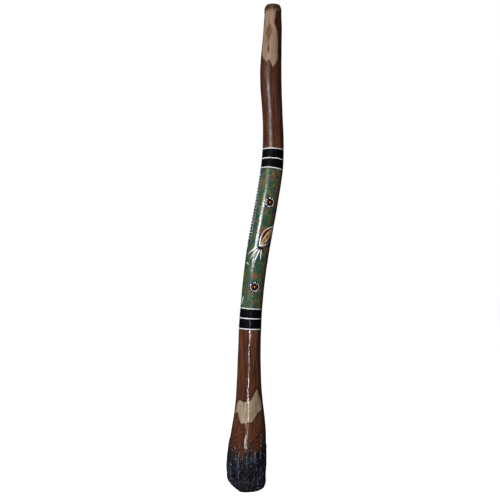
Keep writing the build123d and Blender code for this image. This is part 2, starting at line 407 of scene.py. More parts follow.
def wood_material(name="gum_wood", rough=0.42):
    m = Recipe(name, rough=rough, coat=1.0, coat_rough=0.11)
    split = m.add("ShaderNodeSeparateXYZ")
    m.feed(split.inputs[0], m.where)
    high_up = m.span(split.outputs[2], 0.5, 0.8)
    broad = m.noise(0.02, (1, 1, 0.16), 5, warp=0.6)
    streak = m.noise(0.0035, ALONG, 6)
    pores = m.noise(0.0009, (1, 1, 0.035), 3)
    brown = m.ramp(
        broad, (0.3, rgb(60, 30, 20)), (0.46, rgb(86, 48, 33)), (0.58, rgb(104, 62, 40)),
        (0.75, rgb(66, 36, 25)),
    )  # fmt: skip
    brown = m.mix(m.span(split.outputs[2], 0.72, 0.95, 0.0, 0.4), brown, rgb(54, 27, 19))
    brown = m.mix(m.span(streak, 0.42, 0.66, 0.0, 0.6), brown, rgb(42, 20, 14))
    brown = m.mix(m.span(streak, 0.5, 0.3, 0.0, 0.35), brown, rgb(122, 80, 50))
    # the growth layers show as lines, close above the torn bark
    torn = m.attribute("torn")
    wander = m.noise(0.034, (1, 1, 0.5), 2, shift=(3, 0, 0))
    layers = m.sum("MULTIPLY_ADD", wander, 0.05, torn)
    wave = m.sum("SINE", m.sum("MULTIPLY", layers, 520.0))
    near_bark = m.span(torn, 0.085, 0.02, 0.0, 1.0)
    figure = m.mix(m.span(wave, -0.4, 0.9), rgb(44, 22, 14), rgb(106, 62, 38))
    brown = m.mix(m.sum("MULTIPLY", near_bark, 0.7), brown, figure)
    # sapwood patches
    pale = m.attribute("pale")
    ragged = m.noise(0.006, (1, 1, 0.35), 5, shift=(0, 5, 0))
    edge = m.sum("MULTIPLY_ADD", ragged, 0.006, m.sum("SUBTRACT", pale, 0.003))
    inside = m.span(edge, -0.0009, 0.0012)
    rim = m.sum("MULTIPLY", m.span(edge, -0.005, -0.0004), m.sum("SUBTRACT", 1.0, inside))
    tan_low = m.ramp(
        broad, (0.3, rgb(130, 112, 90)), (0.5, rgb(166, 147, 123)), (0.7, rgb(140, 118, 95))
    )
    tan_high = m.ramp(
        broad, (0.3, rgb(118, 92, 68)), (0.5, rgb(152, 126, 104)), (0.7, rgb(130, 102, 76))
    )
    cream = m.mix(high_up, tan_low, tan_high)
    cream = m.mix(m.span(streak, 0.5, 0.72, 0.0, 0.4), cream, rgb(104, 80, 56))
    dull = m.noise(0.03, (1, 1, 0.4), 3, (9, 1, 0))
    cream = m.mix(m.span(dull, 0.5, 0.75, 0, 0.5), cream, rgb(112, 88, 62))
    soft = m.sum("MULTIPLY_ADD", ragged, 0.004, m.sum("SUBTRACT", m.attribute("stain"), 0.002))
    olive = m.mix(m.span(broad, 0.35, 0.65), rgb(90, 60, 40), rgb(108, 78, 54))
    cream = m.mix(m.span(soft, -0.0028, 0.0022, 0.0, 0.92), cream, olive)
    cream = m.mix(m.span(m.attribute("drop"), -0.0012, 0.0008, 0.0, 0.9), cream, rgb(58, 22, 26))
    wood = m.mix(m.sum("MULTIPLY", rim, 0.5), brown, rgb(40, 19, 12))
    wood = m.mix(inside, wood, cream)
    wood = m.mix(m.span(pores, 0.6, 0.74, 0.0, 0.5), wood, rgb(30, 16, 11))
    m.set("Base Color", wood)
    m.set("Roughness", m.span(streak, 0.3, 0.7, 0.34, 0.5))
    gloss = m.span(m.noise(0.012, (1, 1, 0.4), 3, (4, 4, 0)), 0.3, 0.7, 0.0, 0.05)
    m.set("Coat Roughness", m.sum("ADD", gloss, m.span(split.outputs[2], 0.45, 0.85, 0.05, 0.24)))
    m.set("Coat Weight", m.span(split.outputs[2], 0.82, 0.92, 1.0, 0.6))
    ripples = m.bump(m.noise(0.009, (1, 1, 0.35), 2, (1, 7, 0)), 0.5 * MM)
    grain = m.bump(streak, 0.18 * MM, ripples)
    m.set("Normal", m.bump(pores, 0.08 * MM, grain))
    m.set("Coat Normal", m.bump(streak, 0.1 * MM, ripples))
    return m.material


print("varnished wood ready")

# %% [markdown]
# ## The hollow and the sawn end
# Termites leave the inside pitted and dusty, and nobody varnishes it. The sawn end shows
# the growth rings round the hollow.

# %% Bare wood


def hollow_material():
    """Inside: bare wood eaten by termites, dusty and pitted."""
    m = Recipe("hollow_wood", rough=0.85, coat=0.0)
    broad = m.noise(0.02, (1, 1, 0.4), 5)
    pits = m.cells(0.007, (1, 1, 0.5))
    wood = m.ramp(broad, (0.3, rgb(70, 48, 32)), (0.55, rgb(118, 86, 58)), (0.75, rgb(92, 62, 40)))
    # painted shade: the wood is darkened in the pits, where the bump below sinks it
    wood = m.mix(m.span(pits, 0.35, 0.1, 0, 0.7), wood, rgb(38, 26, 18))
    m.set("Base Color", wood)
    m.set("Roughness", m.span(broad, 0.3, 0.7, 0.7, 0.95))
    gnawed = m.bump(m.noise(0.004, (1, 1, 0.5), 5), 0.8 * MM)
    m.set("Normal", m.bump(pits, 1.2 * MM, gnawed))
    return m.material


def end_material():
    """The sawn end: growth rings round the hollow, small checks and a thin seal of varnish."""
    m = Recipe("end_grain", rough=0.6, coat=0.35, coat_rough=0.3)
    from_middle = m.attribute("depth")
    wander = m.noise(0.02, (1, 1, 1), 3)
    rings = m.sum("SINE", m.sum("MULTIPLY", m.sum("MULTIPLY_ADD", wander, 0.004, from_middle), 3200.0))
    wood = m.mix(m.span(rings, -0.6, 0.9), rgb(120, 84, 54), rgb(82, 50, 30))
    wood = m.mix(m.span(m.noise(0.01, (1, 1, 1), 5), 0.4, 0.7, 0, 0.6), wood, rgb(58, 34, 22))
    m.set("Base Color", wood)
    m.set("Roughness", m.span(wander, 0.3, 0.7, 0.5, 0.75))
    m.set("Normal", m.bump(m.noise(0.0012, (1, 1, 1), 3), 0.25 * MM, m.bump(rings, 0.12 * MM)))
    return m.material


print("bare woods ready")


# %% [markdown]
# ## Where the bark was torn and where sapwood shows
# Both outlines are lists of turns and heights. The bark's upper edge is a row of pointed
# tongues. The sapwood patches are closed outlines, kept on the mesh as a distance to the
# nearest edge, so the material can draw the edge sharper than the mesh is.

# %% Outlines of the bark and of the sapwood
TORN = [
    (-180, 100), (-160, 128), (-143, 85), (-128, 118), (-112, 80), (-95, 124), (-84, 92),
    (-74, 120), (-62, 88), (-46, 117), (-36, 96), (-29, 80), (-25, 130), (-21, 100), (-18, 76),
    (-8, 112), (-1, 92), (6, 118), (11, 137), (14, 120), (17, 84), (26, 106), (35, 108),
    (43, 90), (48, 156), (52, 140), (55, 88), (66, 122), (76, 92), (90, 116), (104, 84),
    (118, 120), (132, 90), (146, 112), (158, 82), (170, 118), (180, 100),
]  # fmt: skip
UPPER_PATCH = [
    (-66, 1236), (18, 1240), (12, 1218), (9, 1200), (24, 1180), (33, 1157), (37, 1108),
    (27, 1096), (9, 1083), (2, 1088), (-8, 1103), (-16, 1105), (-27, 1097), (-46, 1108),
    (-66, 1124), (-78, 1150), (-70, 1200),
]  # fmt: skip
UPPER_ISLAND = [
    (-18, 1198), (-8, 1186), (-5, 1175), (-11, 1164), (-19, 1155), (-20, 1145), (-16, 1137),
    (-15, 1130), (-19, 1120), (-24, 1130), (-25, 1138), (-25, 1146), (-31, 1156), (-42, 1168),
    (-45, 1178), (-38, 1188), (-28, 1194),
]  # fmt: skip
DROP = [(-19, 1142), (-15, 1130), (-19, 1119), (-25, 1130)]
LOWER_PATCH = [
    (-70, 188), (-62, 214), (-47, 228), (-31, 223), (2, 225), (9, 229), (25, 244), (38, 256),
    (48, 240), (58, 226), (59, 203), (38, 198), (24, 188), (11, 175), (-17, 173), (-29, 168),
    (-37, 178), (-49, 196),
]  # fmt: skip
BACK_PATCH = [(150, 262), (168, 236), (196, 250), (214, 222), (206, 186), (180, 174), (158, 200)]

print("tongues", len(TORN), "wood outlines", 5)

# %% [markdown]
# ## Distances to the outlines
# A point's distance to the nearest edge of an outline is all that the material needs: it
# is positive inside and negative outside, and the edge lies where it passes zero.

# %% Distances
GIRTH_HIGH, GIRTH_LOW = 0.024, 0.036  # radius of the log at the upper and the lower patches
NOT_NEAR = -0.02


def torn_edge(turn):
    """Height of the bark's torn upper edge."""
    turns, tops = zip(*TORN)
    edge = np.interp(math.degrees(turn), turns, tops)
    s, c = math.sin(turn), math.cos(turn)
    return (edge + 9 * noise.noise((9 * s, 9 * c, 2.0)) + 4 * noise.noise((31 * s, 31 * c, 5.0))) * MM


def inside_by(h, turn, outline, girth):
    """How far inside an outline a place is, in metres; negative outside it."""
    points = [(math.radians(t) * girth, z * MM) for t, z in outline]
    middle = sum(t for t, _ in outline) / len(outline)
    turn = turn + 2 * math.pi if turn - math.radians(middle) < -math.pi else turn
    px, py = turn * girth, h
    best, within = 1.0, False
    for (ax, ay), (bx, by) in zip(points, points[1:] + points[:1]):
        ex, ey = bx - ax, by - ay
        t = min(max(((px - ax) * ex + (py - ay) * ey) / (ex * ex + ey * ey), 0), 1)
        best = min(best, math.hypot(px - ax - t * ex, py - ay - t * ey))
        if (ay > py) != (by > py) and px < ax + (py - ay) / ey * ex:
            within = not within
    return best if within else -best


def paleness(h, turn):
    """How far a place is inside the sapwood patches."""
    away = NOT_NEAR
    if h > 1.05:
        away = inside_by(h, turn, UPPER_PATCH, GIRTH_HIGH)
    elif 0.14 < h < 0.28:
        away = max(inside_by(h, turn, outline, GIRTH_LOW) for outline in (LOWER_PATCH, BACK_PATCH))
    return max(away, NOT_NEAR)


def stain(h, turn, outline=UPPER_ISLAND):
    """How far a place is inside the dark stain of the knot."""
    return max(inside_by(h, turn, outline, GIRTH_HIGH), NOT_NEAR) if h > 1.05 else NOT_NEAR


print("torn edge at the front", round(torn_edge(0.0) / MM), "mm up")

# %% [markdown]
# ## The log
# One closed skin: up the outside, over the end of the wood under the wax, down the
# hollow, and across the sawn end. The hollow is roughened in steps, as termites leave it.

# %% Build the log
SPIGOT = wax_low.z + (WAX_TOP - wax_low.z) * 0.47  # the wax reaches down to here outside
ROUND = 160
outer_heights = list(np.linspace(0, SPIGOT, 306))
hollow_heights = list(np.linspace(WOOD_TOP, 0, 120))
END_ROWS = 7


def log_row(row, turn):
    if row < len(outer_heights):
        return outer_heights[row], 0.0, False
    row -= len(outer_heights)
    if row < 2:
        return (SPIGOT, WOOD_TOP)[row], (-1.8 * MM, -3.4 * MM)[row], False
    row -= 2
    if row < len(hollow_heights):
        h = hollow_heights[row]
        s, c = math.sin(turn), math.cos(turn)
        gnaw = noise.noise((3 * s, 3 * c, h * 30)) * 1.2 + noise.noise((9 * s, 9 * c, h * 70)) * 0.7
        return h, gnaw * MM * smooth((WOOD_TOP - h) / 0.06 - 0.5), True
    share = (row - len(hollow_heights) + 1) / (END_ROWS + 1)
    _, _, outer, inner = at_height(0.0)
    return 0.0, (outer - inner) * (share - 1), False


log_rows = len(outer_heights) + 2 + len(hollow_heights) + END_ROWS


def mark_wood(bm):
    """Keeps on the mesh how far each point is inside the patches that the wood shows."""
    names = ("pale", "torn", "depth", "stain", "drop")
    for name in names:
        bm.verts.layers.float.new(name)
    layers = {name: bm.verts.layers.float[name] for name in names}
    straight = bm.verts.layers.float_vector["straight"]
    for v in bm.verts:
        h = v[straight].z
        turn = math.atan2(v[straight].x, -v[straight].y)
        v[layers["pale"]] = paleness(h, turn)
        v[layers["stain"]] = stain(h, turn)
        v[layers["drop"]] = stain(h, turn, DROP)
        v[layers["torn"]] = min(h - torn_edge(turn), 0.2)
        v[layers["depth"]] = math.hypot(v.co.x - bell[0], v.co.y - bell[1])


bm = tube(ROUND, log_rows, log_row)
mark_wood(bm)
straight = bm.verts.layers.float_vector["straight"]
for f in bm.faces:
    middle = f.calc_center_median()
    x, y, outer, inner = at_height(middle.z)
    away = math.hypot(middle.x - x, middle.y - y)
    f.material_index = 1 if away < (outer + inner) / 2 else 0
    if all(abs(v[straight].z) < 1e-6 for v in f.verts):
        f.material_index = 2
shown("log", bm, [wood_material(), hollow_material(), end_material()], ["log"])

# %% [markdown]
# ## Bark
# Ironbark left on the bell: deep furrows that run up the trunk between plates, broken
# across into small crags, all sealed under thick varnish that glitters. Its colour also
# carries painted shade in the crevices and furrows and painted blue-grey glints on the crag
# tops, on the crests and in small flecks. At its torn edge the bark thins and dives under
# the wood's surface, so the tongues end in a feather edge.

# %% Bark material


def bark_material():
    m = Recipe("bark", rough=0.6, coat=1.0, coat_rough=0.16)
    crags = m.noise(0.0026, (1, 1, 0.45), 6)
    plates = m.noise(0.008, (1, 1, 0.09), 4, warp=0.5)
    flecks = m.cells(0.0017, (1, 1, 0.7), output="Color")
    # painted shade and painted highlight: the crags run from near-black where the bump sinks them to
    # blue-grey glints on their raised tops
    bark = m.ramp(
        crags, (0.34, rgb(6, 6, 9)), (0.48, rgb(18, 18, 26)),
        (0.57, rgb(50, 52, 66)), (0.68, rgb(114, 120, 144)),
    )  # fmt: skip
    bark = m.mix(m.span(plates, 0.5, 0.6, 0, 0.85), bark, rgb(12, 10, 13))
    relief = m.attribute("relief")
    # painted shade in the low furrows of the mesh relief, and on the next line a painted blue-grey
    # highlight on its crests
    bark = m.mix(m.span(relief, 0.6, 0.34, 0, 0.92), bark, rgb(8, 6, 7))
    bark = m.mix(m.span(relief, 0.78, 1.1, 0, 0.4), bark, rgb(88, 92, 110))
    bare = m.noise(0.008, (1, 1, 0.5), 4, (2, 2, 9))
    bark = m.mix(m.span(bare, 0.6, 0.74, 0, 0.5), bark, rgb(70, 44, 30))
    # painted glints: small blue-grey flecks stand for the glitter of the varnish
    bark = m.mix(m.span(flecks, 0.8, 0.95, 0, 0.45), bark, rgb(116, 120, 140))
    rim = m.span(m.attribute("over_end"), 0.004, 0.001)
    bark = m.mix(m.sum("MULTIPLY", rim, 0.75), bark, rgb(98, 56, 34))
    m.set("Base Color", bark)
    m.set("Roughness", m.span(crags, 0.3, 0.7, 0.75, 0.4))
    m.set("Coat Roughness", m.span(flecks, 0.2, 0.9, 0.08, 0.3))
    rough = m.bump(crags, 2.0 * MM)
    glitter = m.bump(m.noise(0.0011, (1, 1, 0.8), 3), 0.5 * MM, rough)
    m.set("Normal", glitter)
    m.set("Coat Normal", glitter)
    return m.material


print("bark ready")

# %% [markdown]
# ## The relief of the bark
# The ridges are folded noise stretched along the trunk: where the noise passes zero it
# makes a crest. Crags and chips are finer noise on top. A few rows inside close the skin.

# %% Build the bark
BARK_ROUND, BARK_ROWS, FOOT_ROWS, BARK_REACH = 336, 112, 4, 160 * MM


def furrows(h, turn):
    """Relief of the bark from 0 to about 1."""
    s, c = math.sin(turn), math.cos(turn)
    wide = noise.noise((4.6 * s, 4.6 * c, h * 6))
    ridge = 1 - abs(noise.noise((13 * s, 13 * c, h * 8))) * 3.4
    crag = noise.noise((26 * s, 26 * c, h * 160))
    chip = noise.noise((60 * s, 60 * c, h * 400 + 9))
    return 0.34 + 0.26 * wide + 0.56 * max(ridge, 0) + 0.2 * crag + 0.14 * chip


def bark_row(row, turn):
    if row >= BARK_ROWS:
        h = BARK_REACH * (1 - (row - BARK_ROWS + 0.5) / FOOT_ROWS)
        return max(h, 0.0), -2.5 * MM, False
    h = BARK_REACH * row / (BARK_ROWS - 1)
    top = torn_edge(turn)
    left = smooth((top - h) / (9 * MM) + 0.25)
    full = 1.7 + 2.2 * smooth((0.115 - h) / 0.07)
    over = -1.4 + left * (1.5 + full * furrows(h, turn))
    round_off = 1.6 * (1 - smooth(h / (5 * MM)))
    return h, (over - round_off) * MM, False


bm = tube(BARK_ROUND, BARK_ROWS + FOOT_ROWS, bark_row)
for name in ("over_end", "relief"):
    bm.verts.layers.float.new(name)
over_end, relief = bm.verts.layers.float["over_end"], bm.verts.layers.float["relief"]
straight = bm.verts.layers.float_vector["straight"]
for v in bm.verts:
    h = v[straight].z
    v[over_end] = h
    v[relief] = furrows(h, math.atan2(v[straight].x, -v[straight].y))
shown("bark_skirt", bm, bark_material(), ["bark_skirt"])

# %% [markdown]
# ## Beeswax mouthpiece
# Soft beeswax is rolled, pressed over the end of the wood and smoothed with a warm
# finger, so the rim is round, a little uneven, and its lower edge wanders.

# %% Beeswax


def wax_material():
    m = Recipe("beeswax", rough=0.38, coat=0.5, coat_rough=0.22)
    clouds = m.noise(0.011, (1, 1, 1), 4)
    wax = m.ramp(clouds, (0.3, rgb(64, 38, 28)), (0.55, rgb(92, 62, 48)), (0.75, rgb(74, 46, 34)))
    wax = m.mix(m.span(m.noise(0.003, (1, 1, 1), 3), 0.58, 0.72, 0, 0.5), wax, rgb(44, 26, 20))
    up = m.add("ShaderNodeSeparateXYZ")
    m.feed(up.inputs[0], m.where)
    side = m.span(up.outputs[0], 0.008, 0.017)
    foot = m.sum("MULTIPLY_ADD", clouds, 0.01, up.outputs[2])
    pale = m.sum("MULTIPLY", m.span(foot, 1.242, 1.236, 0.0, 0.75), m.sum("SUBTRACT", 1.0, side))
    wax = m.mix(pale, wax, rgb(128, 98, 74))
    wax = m.mix(m.span(up.outputs[2], 1.246, 1.2495, 0.0, 0.7), wax, rgb(44, 20, 12))
    m.set("Base Color", wax)
    m.set("Subsurface Weight", 0.08)
    m.set("Subsurface Radius", (0.004, 0.002, 0.001))
    m.set("Roughness", m.span(clouds, 0.3, 0.7, 0.3, 0.5))
    m.set("Normal", m.bump(m.noise(0.002, (1, 1, 1), 2), 0.12 * MM, m.bump(clouds, 0.7 * MM)))
    return m.material


ROUND_WAX, FOOT_POINTS, SHOULDER_POINTS, LIP_POINTS = 120, 3, 17, 6
bore = 15 * MM
edge_wide = at_height(SPIGOT)[2] - 1.3 * MM
lip = 17.2 * MM


def shoulder(a):
    """Radius and height of the rounded outside, from its foot at 0 to the lip at a quarter turn."""
    foot = SPIGOT + 1.5 * MM
    return lip + (edge_wide + 0.5 * MM - lip) * math.cos(a) ** 0.9, foot + (WAX_TOP - foot) * math.sin(a)


profile = [(edge_wide - 2.2 * MM, SPIGOT + 1 * MM), (edge_wide - 0.5 * MM, SPIGOT - 0.8 * MM)]
profile += [(edge_wide + 0.35 * MM, SPIGOT + 0.4 * MM)]
profile += [shoulder(math.pi / 2 * i / (SHOULDER_POINTS - 1)) for i in range(SHOULDER_POINTS)]
for i in range(1, LIP_POINTS + 1):
    a = math.pi / 2 * i / LIP_POINTS
    profile.append((lip - (lip - bore) * math.sin(a), WAX_TOP - 5 * MM * (1 - math.cos(a))))
profile += [(bore, WAX_TOP - t * MM) for t in (8, 14, 20, 28, 34)]
profile += [(bore + 0.6 * MM, wax_low.z), (bore + 1.9 * MM, wax_low.z + 1 * MM)]
profile += [(bore + 1.9 * MM, WOOD_TOP), (edge_wide - 4.5 * MM, WOOD_TOP)]
bm = grow_rings(ROUND_WAX, len(profile))
straight = bm.verts.layers.float_vector.new("straight")
for v in bm.verts:
    turn = math.atan2(v.co.x, -v.co.y)
    row = round(v.co.z) % len(profile)
    r, z = profile[row]
    s, c = math.sin(turn), math.cos(turn)
    if row < FOOT_POINTS:
        z += (noise.noise((2.2 * s, 2.2 * c, 3.0)) * 2.2 + noise.noise((7 * s, 7 * c, 8.0)) * 1.1) * MM
    if row < FOOT_POINTS + SHOULDER_POINTS:
        r += noise.noise((1.7 * s, 1.7 * c, z * 60)) * 0.6 * MM
        r += noise.noise((5 * s, 5 * c, z * 150)) * 0.25 * MM
    sway = noise.noise((1.5 * s, 1.5 * c, 11.0)) * 0.6 * MM * smooth((z - SPIGOT) / (8 * MM))
    sway *= r > bore + 0.1 * MM
    v.co = Vector((MOUTH.x + s * r, MOUTH.y - c * r, min(z - abs(sway), WAX_TOP)))
    v[straight] = Vector((s * r, -c * r, z))
bmesh.ops.remove_doubles(bm, verts=bm.verts, dist=SEAM)
shown("beeswax_mouthpiece", bm, wax_material(), ["beeswax_mouthpiece"])

# %% [markdown]
# ## Flat work laid on the log
# Paint marks are made flat and then wrapped. A patch is a grid whose outline is bent
# into shape; it gets a rounded edge and a thickness, so varnish catches on its rim.

# %% Patches


def patch(outline, across, along, top, foot, crown=0.0):
    """A closed patch. outline(u, w) takes -1..1 each way to a flat place in metres."""
    bm = bmesh.new()
    bmesh.ops.create_grid(bm, x_segments=across, y_segments=along, size=1)
    border = {v for v in bm.verts if v.is_boundary}
    grown = bmesh.ops.extrude_face_region(bm, geom=list(bm.faces))["geom"]
    upper = {g for g in grown if isinstance(g, bmesh.types.BMVert)}
    rim = {v for v in upper if any(e.other_vert(v) in border for e in v.link_edges)}
    for v in bm.verts:
        u, w = v.co.x, v.co.y
        x, y = outline(u, w)
        z = foot
        if v in upper:
            z = top + crown * (1 - u * u) * (1 - w * w)
            z -= (top - foot) * 0.45 if v in rim else 0
        v.co = (x, y, z)
    bmesh.ops.remove_doubles(bm, verts=bm.verts, dist=0.01 * MM)
    return bm


def round_outline(radius, wobble=0.0, seed=0.0):
    """A hand-painted disc."""

    def outline(u, w):
        x, y = u * math.sqrt(1 - w * w / 2), w * math.sqrt(1 - u * u / 2)
        r = radius * (1 + wobble * noise.noise((2 * x, 2 * y, seed)))
        return x * r, y * r

    return outline


def dot(radius, low, high, seed):
    """A drop of paint: a low dome, not quite round."""
    bm = bmesh.new()
    bmesh.ops.create_uvsphere(bm, u_segments=12, v_segments=8, radius=1)
    bmesh.ops.bisect_plane(
        bm, geom=list(bm.verts) + list(bm.edges) + list(bm.faces), plane_co=(0, 0, -0.2),
        plane_no=(0, 0, 1), clear_inner=True,
    )  # fmt: skip
    bmesh.ops.holes_fill(bm, edges=[e for e in bm.edges if e.is_boundary])
    for v in bm.verts:
        r = radius * (1 + 0.16 * noise.noise((1.3 * v.co.x, 1.3 * v.co.y, seed)))
        v.co = (v.co.x * r, v.co.y * r, low + max(v.co.z, -0.2) * (high - low))
    return bm


def laid(work, h, turn, lean=0.0):
    wrap(work, h, turn, lean)
    return work


def paint_material(name, base, second, rough=0.45, brush=0.16, coat_rough=0.14, coat=0.8):
    """Acrylic paint: two close tones in brush marks under varnish."""
    m = Recipe(name, rough=rough, coat=coat, coat_rough=coat_rough)
    tone = m.noise(0.006, (1, 1, 0.5), 5)
    colour = m.mix(m.span(tone, 0.35, 0.68), base, second)
    colour = m.mix(m.span(m.noise(0.0015, (1, 1, 1), 3), 0.62, 0.75, 0, 0.35), colour, second)
    m.set("Base Color", colour)
    m.set("Roughness", m.span(tone, 0.3, 0.7, rough - 0.08, rough + 0.1))
    strokes = m.bump(m.noise(0.0016, (0.25, 0.25, 1), 3), brush * MM)
    ripples = m.bump(m.noise(0.008, (1, 1, 0.5), 2, (5, 1, 0)), 0.5 * MM, strokes)
    m.set("Normal", ripples)
    m.set("Coat Normal", m.bump(m.noise(0.007, (1, 1, 0.4), 2, (5, 1, 0)), 0.4 * MM))
    return m.material


WHITE = paint_material("white_paint", rgb(246, 248, 246), rgb(222, 226, 226))
BLACK = paint_material("black_paint", rgb(7, 7, 9), rgb(12, 12, 15), 0.55, 0.1, 0.13, 0.12)
MAROON = paint_material("maroon_paint", rgb(118, 22, 18), rgb(72, 12, 12))
OCHRE = paint_material("ochre_paint", rgb(196, 158, 66), rgb(132, 100, 36))
print("paints", 4)

# %% [markdown]
# ## Ground coat
# The painted field is sponged: blue-green and leaf green in soft clouds, with dabs of
# rust and of yellow-green on top. It fades into rust at one side.

# %% Ground coat


def ground_material():
    m = Recipe("green_paint", rough=0.4, coat=1.0, coat_rough=0.2)
    clouds = m.noise(0.016, (1, 1, 0.8), 6, warp=0.5)
    green = m.ramp(
        clouds, (0.32, rgb(18, 62, 62)), (0.46, rgb(36, 76, 60)),
        (0.58, rgb(52, 82, 54)), (0.72, rgb(70, 84, 44)),
    )  # fmt: skip
    sponge = m.noise(0.003, (1, 1, 0.8), 6)
    side = m.add("ShaderNodeSeparateXYZ")
    m.feed(side.inputs[0], m.where)
    to_right = m.span(side.outputs[0], 0.009, 0.024, 0.0, 0.1)
    rust_field = m.sum("ADD", m.noise(0.011, (1, 1, 0.8), 5, (4, 8, 0)), to_right)
    rust_spots = m.sum("MULTIPLY_ADD", sponge, 0.4, m.sum("MULTIPLY", rust_field, 0.8))
    rust = m.mix(m.span(clouds, 0.4, 0.65), rgb(136, 76, 44), rgb(104, 64, 40))
    green = m.mix(m.span(rust_spots, 0.625, 0.69, 0, 0.75), green, rust)
    lime_field = m.noise(0.011, (1, 1, 0.8), 5, (1, 1, 6))
    lime = m.sum("MULTIPLY_ADD", sponge, 0.35, m.sum("MULTIPLY", lime_field, 0.85))
    green = m.mix(m.span(lime, 0.655, 0.715, 0, 0.65), green, rgb(112, 106, 40))
    teal_field = m.noise(0.01, (1, 1, 0.9), 5, (6, 1, 2))
    green = m.mix(m.span(teal_field, 0.55, 0.65, 0, 0.6), green, rgb(16, 64, 74))
    dark_dabs = m.noise(0.006, (1, 1, 0.9), 4, (2, 6, 2))
    green = m.mix(m.span(dark_dabs, 0.62, 0.7, 0, 0.6), green, rgb(20, 36, 40))
    bare = m.span(side.outputs[0], 0.0245, 0.0265)
    green = m.mix(bare, green, rgb(64, 36, 24))
    m.set("Base Color", green)
    m.set("Roughness", m.span(sponge, 0.3, 0.7, 0.34, 0.5))
    dabs = m.bump(sponge, 0.3 * MM)
    m.set("Normal", dabs)
    m.set("Coat Roughness", m.span(sponge, 0.3, 0.7, 0.12, 0.26))
    m.set("Coat Normal", m.bump(m.noise(0.004, (1, 1, 0.7), 3), 0.3 * MM))
    return m.material


PAINT_LEFT, PAINT_RIGHT = math.radians(-116), math.radians(66)


def wander(turn, seed, size=0.35):
    """A brush that doesn't keep quite level."""
    s, c = math.sin(turn), math.cos(turn)
    return (noise.noise((1.2 * s, 1.2 * c, seed)) + 0.45 * noise.noise((5 * s, 5 * c, seed))) * size * MM


def film(low, high, top, along=8, across=96, seed=0.0, size=0.0, crown=0.0, ragged=1.2):
    """A coat between two heights on the painted side of the log."""
    middle, half = (low + high) / 2, (high - low) / 2
    r = at_height(middle)[2]
    sweep = (PAINT_RIGHT - PAINT_LEFT) / 2

    def outline(u, w):
        turn = PAINT_LEFT + (u + 1) * sweep
        torn = noise.noise((u * 2, (middle + w * half) * 90, seed)) * smooth(abs(u) * 6 - 5)
        return turn * r + ragged * torn * MM, w * half + wander(turn, seed, size)

    return laid(patch(outline, across, along, top, -0.6 * MM, crown), middle, 0.0)


print("painted from", round(math.degrees(PAINT_LEFT)), "to", round(math.degrees(PAINT_RIGHT)), "degrees")

# %% [markdown]
# ## White lines and black bands
# Six white lines are painted over the edges of four black bands. Their heights are read
# from the engineering model. The brush wanders a little and ends raggedly at the back.

# %% Lines and bands round the log
nodes = frame["nodes"]


def levels_of(node):
    """Where the separate rings of a node cross the front, low to high."""
    spans = []
    points = [v.co for v in nodes[node].data.vertices]
    front = []
    for p in points:
        x, y, _, _ = at_height(p.z)
        if abs(p.x - x) < 6 * MM and p.y < y:
            front.append(p.z)
    front.sort()
    for z in front:
        if spans and z - spans[-1][1] < 4 * MM:
            spans[-1][1] = z
        else:
            spans.append([z, z])
    return spans


def along(z):
    """The height along the log whose square ring crosses the front at level z."""
    h = z
    for _ in range(6):
        h += z - on_log(h, 0.0, 0.0).z
    return h


lines = {}
for node in ("upper_white_rings", "lower_white_rings"):
    lines[node] = [along((a + b) / 2) for a, b in levels_of(node)]
print("lines", {k: [round(h * 1000) for h in v] for k, v in lines.items()})
LINE_HALF, COAT, OVER = 1.25 * MM, 0.4 * MM, 0.75 * MM
seed = 1.0
for where in ("upper", "lower"):
    heights = lines[where + "_white_rings"]
    work = []
    for h in heights:
        work.append(film(h - LINE_HALF, h + LINE_HALF, 0.8 * MM, 5, 130, seed, 0.4, 0.15 * MM))
        seed += 3.1
    shown(where + "_white_rings", joined(work), WHITE, [where + "_white_rings"])
    work = [film(a, b, COAT, 10, 96, a) for a, b in zip(heights[:-1], heights[1:])]
    shown(where + "_black_bands", joined(work), BLACK, [where + "_black_bands"])
bottom, top = lines["lower_white_rings"][-1], lines["upper_white_rings"][0]
bm = film(bottom, top, COAT, 140, 96, ragged=2.5)
shown("ground_coat", bm, ground_material(), ["ground_coat"])

# %% [markdown]
# ## Rosettes
# Each rosette is a black disc with a ring of white drops, a ring of maroon drops and an
# ochre one in the middle, put on with the end of a stick. Two stand in the
# painted field, one above and one below the leaf.

# %% Rosettes
DISC = 14.5 * MM

def turns_and_heights(node, count):
    """Middle of each separate solid of a node, low to high, as height along the log and turn."""
    bm = bmesh.new()
    bm.from_mesh(nodes[node].data)
    bmesh.ops.remove_doubles(bm, verts=bm.verts, dist=0.02 * MM)
    left, found = dict.fromkeys(bm.verts), []
    while left:
        group, edge = [], [left.popitem()[0]]
        while edge:
            v = edge.pop()
            group.append(v)
            near = [e.other_vert(v) for e in v.link_edges]
            near = [n for n in near if n in left]
            for n in near:
                del left[n]
            edge += near
        middle = sum((v.co for v in group), Vector()) / len(group)
        found.append(middle)
    bm.free()
    found.sort(key=lambda p: (round(p.z, 5), p.x))
    print(node, len(found), "of", count)
    places = []
    for p in found:
        h = p.z
        for _ in range(6):
            x, y, _, _ = at_height(p.z)
            turn = math.atan2(p.x - x, -(p.y - y))
            h += p.z - on_log(h, turn).z
        places.append((h, turn))
    return places


